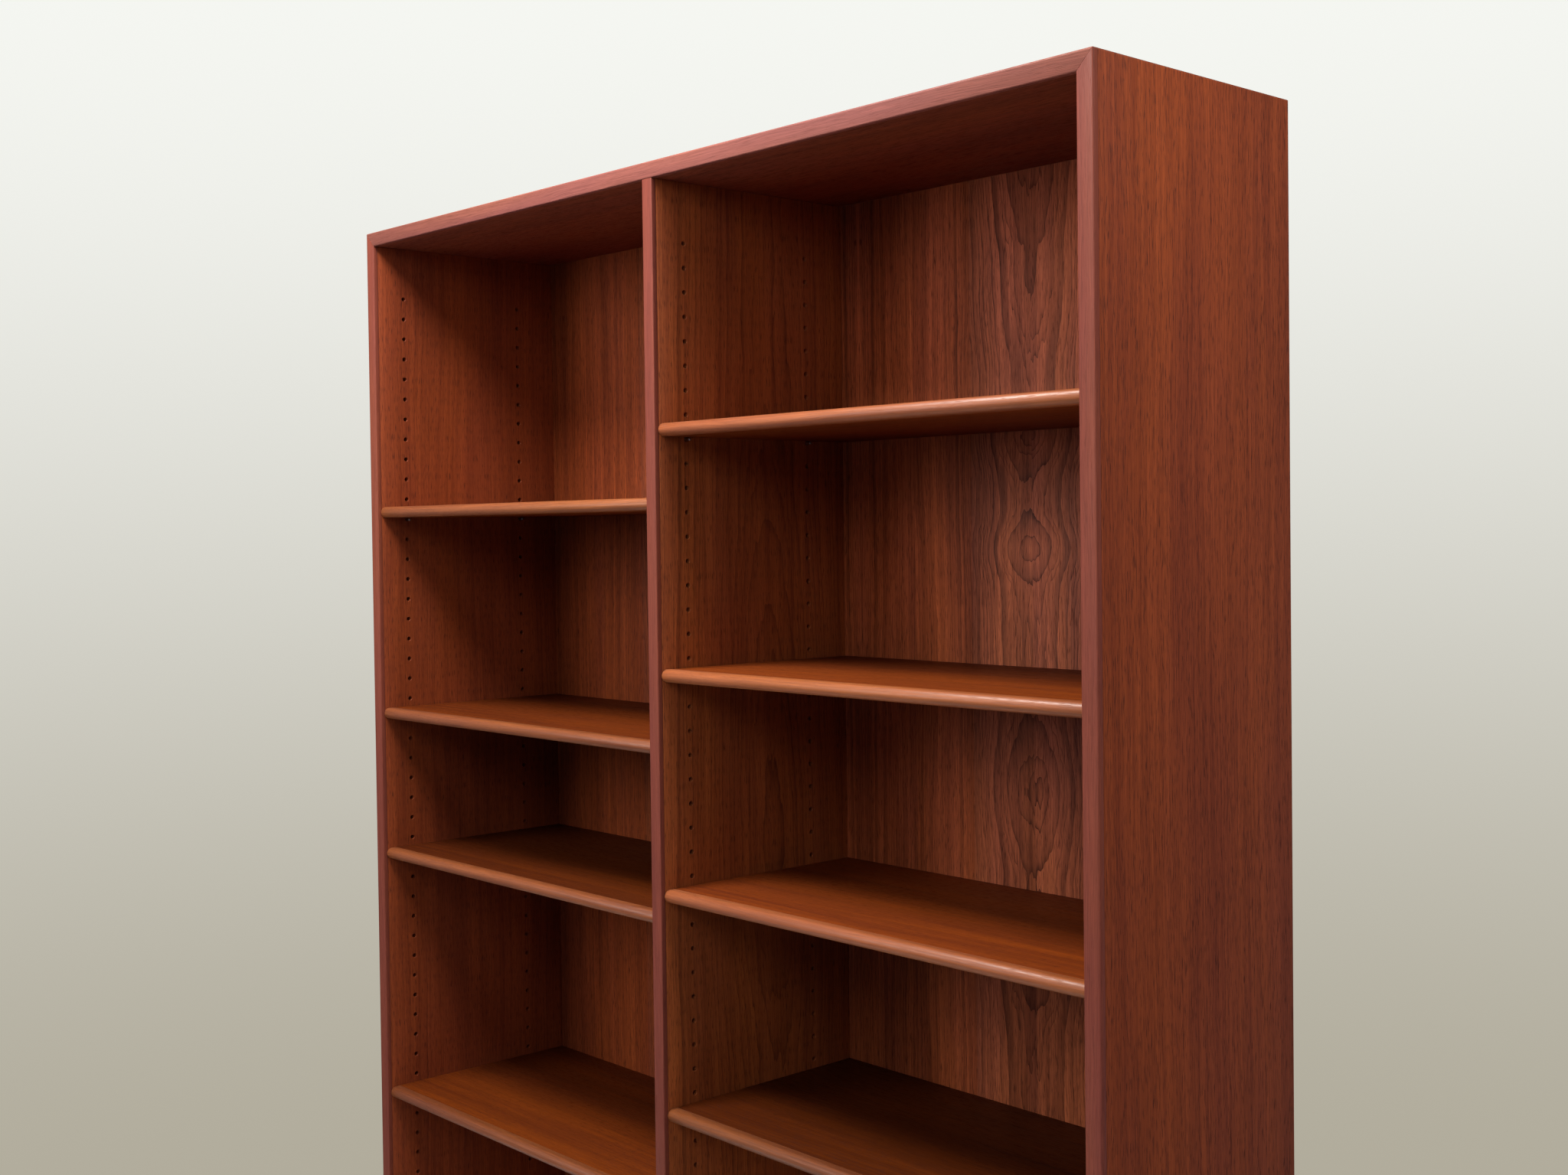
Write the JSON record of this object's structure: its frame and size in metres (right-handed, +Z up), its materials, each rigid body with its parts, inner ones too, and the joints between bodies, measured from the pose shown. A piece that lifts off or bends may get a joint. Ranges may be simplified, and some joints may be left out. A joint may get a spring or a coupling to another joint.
{
  "type": "bookcase",
  "caption": "Two-column open bookcase with mitred case, central divider and adjustable shelves on steel pins.",
  "frame": {"origin": "on the floor under the middle of the case", "axes": "+Z up, +X to the viewer's right, the open front faces -Y"},
  "size_m": [1.464, 0.35, 1.9],
  "materials": {
    "teak_case": "oiled teak veneer",
    "teak_lipping": "oiled solid teak",
    "teak_back": "oiled figured teak veneer",
    "teak_shelf": "oiled teak veneer with a solid nose",
    "plinth_wood": "dark stained wood",
    "pin_steel": "plain steel rod"
  },
  "bodies": {
    "case": {"side_left": "teak_case", "side_right": "teak_case", "top_panel": "teak_case", "bottom_panel": "teak_case", "divider": "teak_case", "lipping_side_left": "teak_lipping", "lipping_side_right": "teak_lipping", "lipping_top": "teak_lipping", "lipping_bottom": "teak_lipping", "lipping_divider": "teak_lipping", "back_left": "teak_back", "back_right": "teak_back", "plinth_front": "plinth_wood", "plinth_rear": "plinth_wood", "plinth_left": "plinth_wood", "plinth_right": "plinth_wood", "pin_left_1_l_front": "pin_steel", "pin_left_1_l_rear": "pin_steel", "pin_left_1_r_front": "pin_steel", "pin_left_1_r_rear": "pin_steel", "pin_left_2_l_front": "pin_steel", "pin_left_2_l_rear": "pin_steel", "pin_left_2_r_front": "pin_steel", "pin_left_2_r_rear": "pin_steel", "pin_left_3_l_front": "pin_steel", "pin_left_3_l_rear": "pin_steel", "pin_left_3_r_front": "pin_steel", "pin_left_3_r_rear": "pin_steel", "pin_left_4_l_front": "pin_steel", "pin_left_4_l_rear": "pin_steel", "pin_left_4_r_front": "pin_steel", "pin_left_4_r_rear": "pin_steel", "pin_right_1_l_front": "pin_steel", "pin_right_1_l_rear": "pin_steel", "pin_right_1_r_front": "pin_steel", "pin_right_1_r_rear": "pin_steel", "pin_right_2_l_front": "pin_steel", "pin_right_2_l_rear": "pin_steel", "pin_right_2_r_front": "pin_steel", "pin_right_2_r_rear": "pin_steel", "pin_right_3_l_front": "pin_steel", "pin_right_3_l_rear": "pin_steel", "pin_right_3_r_front": "pin_steel", "pin_right_3_r_rear": "pin_steel", "pin_right_4_l_front": "pin_steel", "pin_right_4_l_rear": "pin_steel", "pin_right_4_r_front": "pin_steel", "pin_right_4_r_rear": "pin_steel"},
    "shelf_left_1": {"shelf_left_1": "teak_shelf"},
    "shelf_left_2": {"shelf_left_2": "teak_shelf"},
    "shelf_left_3": {"shelf_left_3": "teak_shelf"},
    "shelf_left_4": {"shelf_left_4": "teak_shelf"},
    "shelf_right_1": {"shelf_right_1": "teak_shelf"},
    "shelf_right_2": {"shelf_right_2": "teak_shelf"},
    "shelf_right_3": {"shelf_right_3": "teak_shelf"},
    "shelf_right_4": {"shelf_right_4": "teak_shelf"}
  },
  "joints": [
    {"name": "shelf_left_1_slide", "type": "slide", "parent": "case", "child": "shelf_left_1", "axis": [0, -1, 0], "range_m": [0, 0.325]},
    {"name": "shelf_left_2_slide", "type": "slide", "parent": "case", "child": "shelf_left_2", "axis": [0, -1, 0], "range_m": [0, 0.325]},
    {"name": "shelf_left_3_slide", "type": "slide", "parent": "case", "child": "shelf_left_3", "axis": [0, -1, 0], "range_m": [0, 0.325]},
    {"name": "shelf_left_4_slide", "type": "slide", "parent": "case", "child": "shelf_left_4", "axis": [0, -1, 0], "range_m": [0, 0.325]},
    {"name": "shelf_right_1_slide", "type": "slide", "parent": "case", "child": "shelf_right_1", "axis": [0, -1, 0], "range_m": [0, 0.325]},
    {"name": "shelf_right_2_slide", "type": "slide", "parent": "case", "child": "shelf_right_2", "axis": [0, -1, 0], "range_m": [0, 0.325]},
    {"name": "shelf_right_3_slide", "type": "slide", "parent": "case", "child": "shelf_right_3", "axis": [0, -1, 0], "range_m": [0, 0.325]},
    {"name": "shelf_right_4_slide", "type": "slide", "parent": "case", "child": "shelf_right_4", "axis": [0, -1, 0], "range_m": [0, 0.325]}
  ]
}
